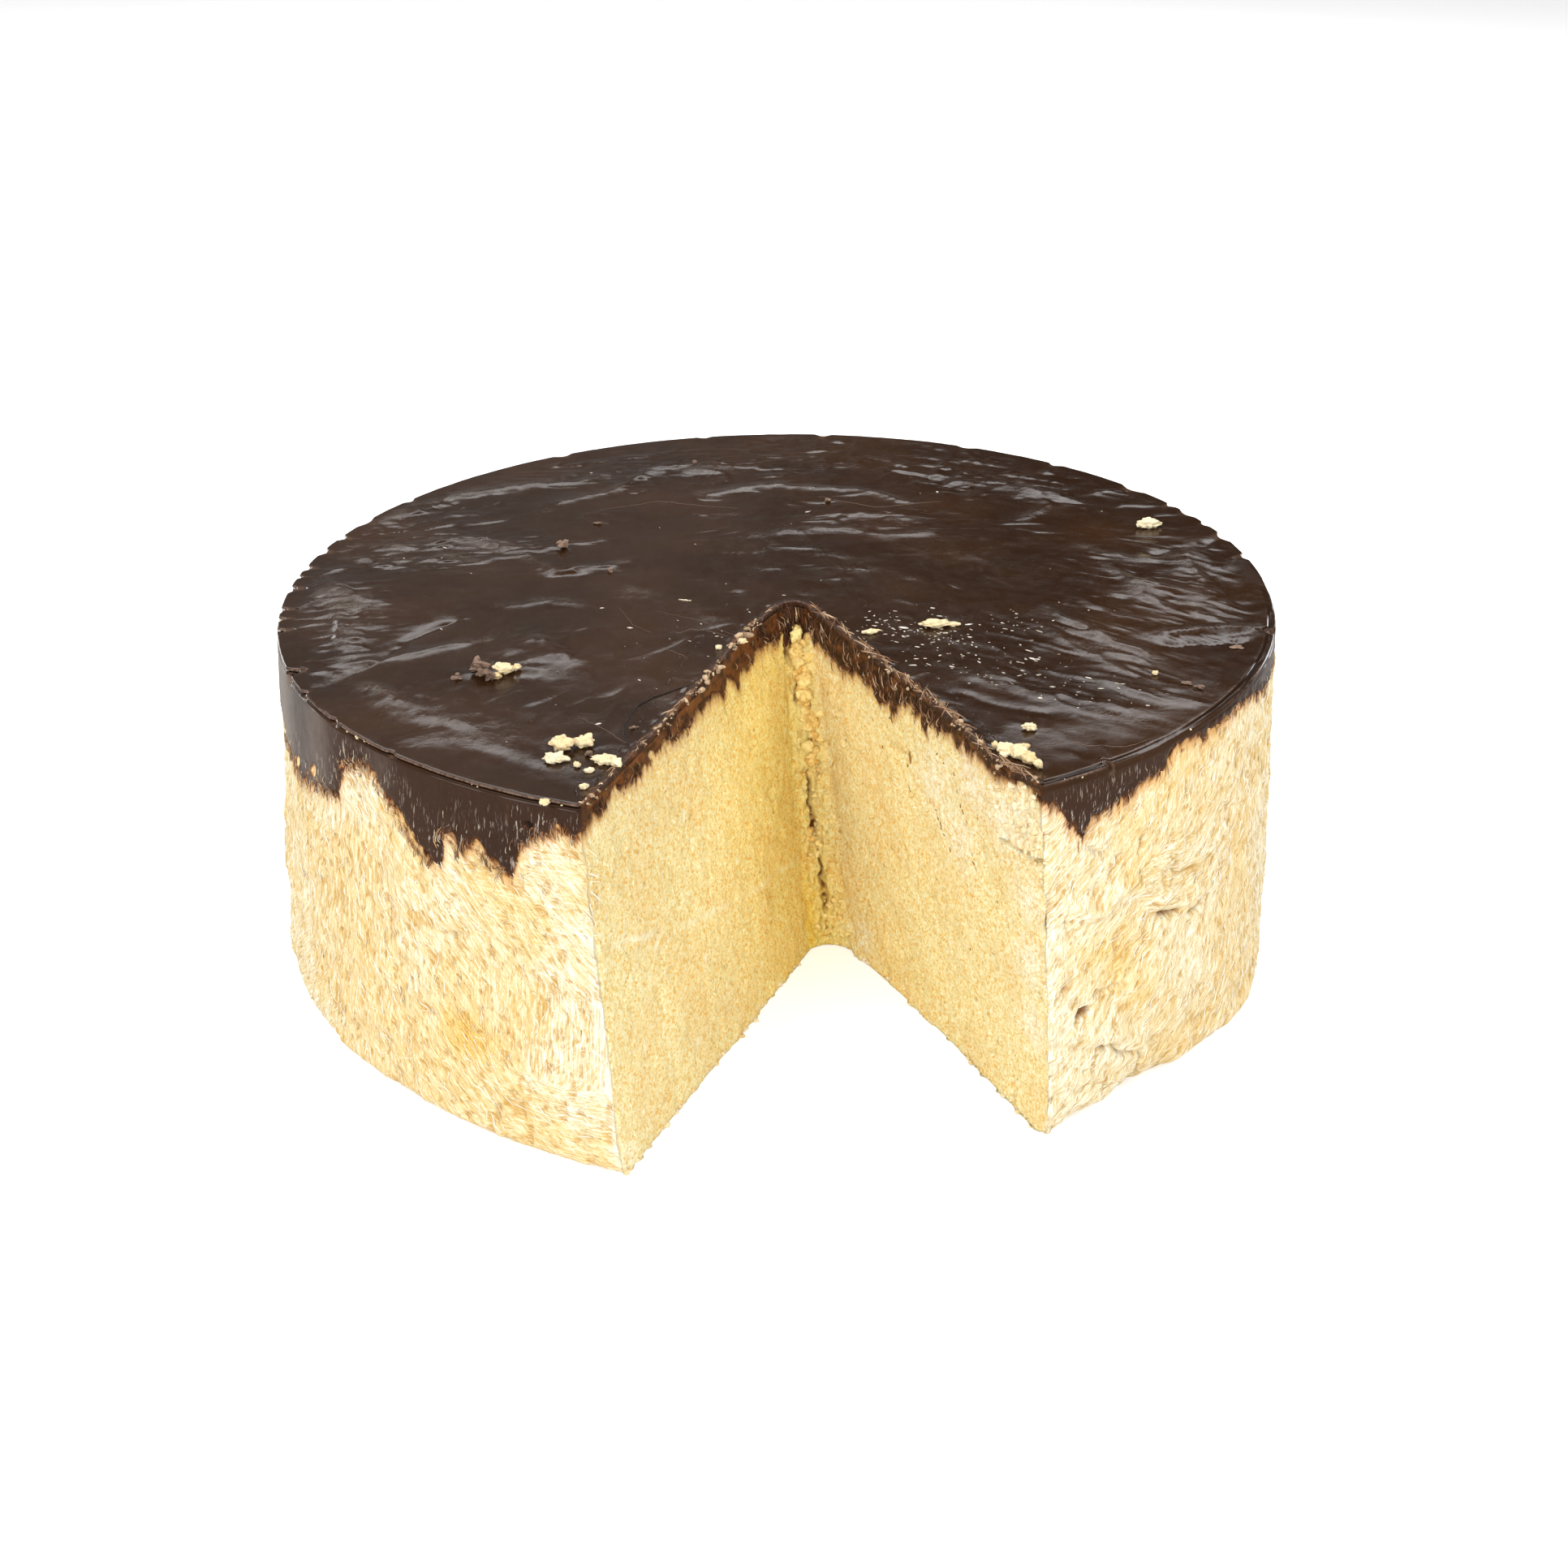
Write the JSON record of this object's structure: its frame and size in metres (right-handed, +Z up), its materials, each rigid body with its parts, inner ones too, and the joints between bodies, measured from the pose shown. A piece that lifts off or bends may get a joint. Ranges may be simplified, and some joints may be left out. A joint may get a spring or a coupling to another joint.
{
  "type": "sesame halva round with chocolate top",
  "caption": "Round block of pulled sesame halva with a dark chocolate top and skirt, cut open by a missing wedge that shows the pale crumbly inside.",
  "frame": {"origin": "on the axis of the round, on the flat base that it rests on", "axes": "+Z up along the axis of the round, -Y through the middle of the missing wedge's mouth, +X to the right seen from the mouth"},
  "size_m": [0.2269, 0.2249, 0.0819],
  "materials": {
    "halva": "matte, pale cream, fibrous on the outside and fine-grained on the cut",
    "chocolate": "satin dark chocolate with film folds and light scratches"
  },
  "bodies": {
    "root": {"halva": "halva", "chocolate": "chocolate"}
  },
  "joints": []
}
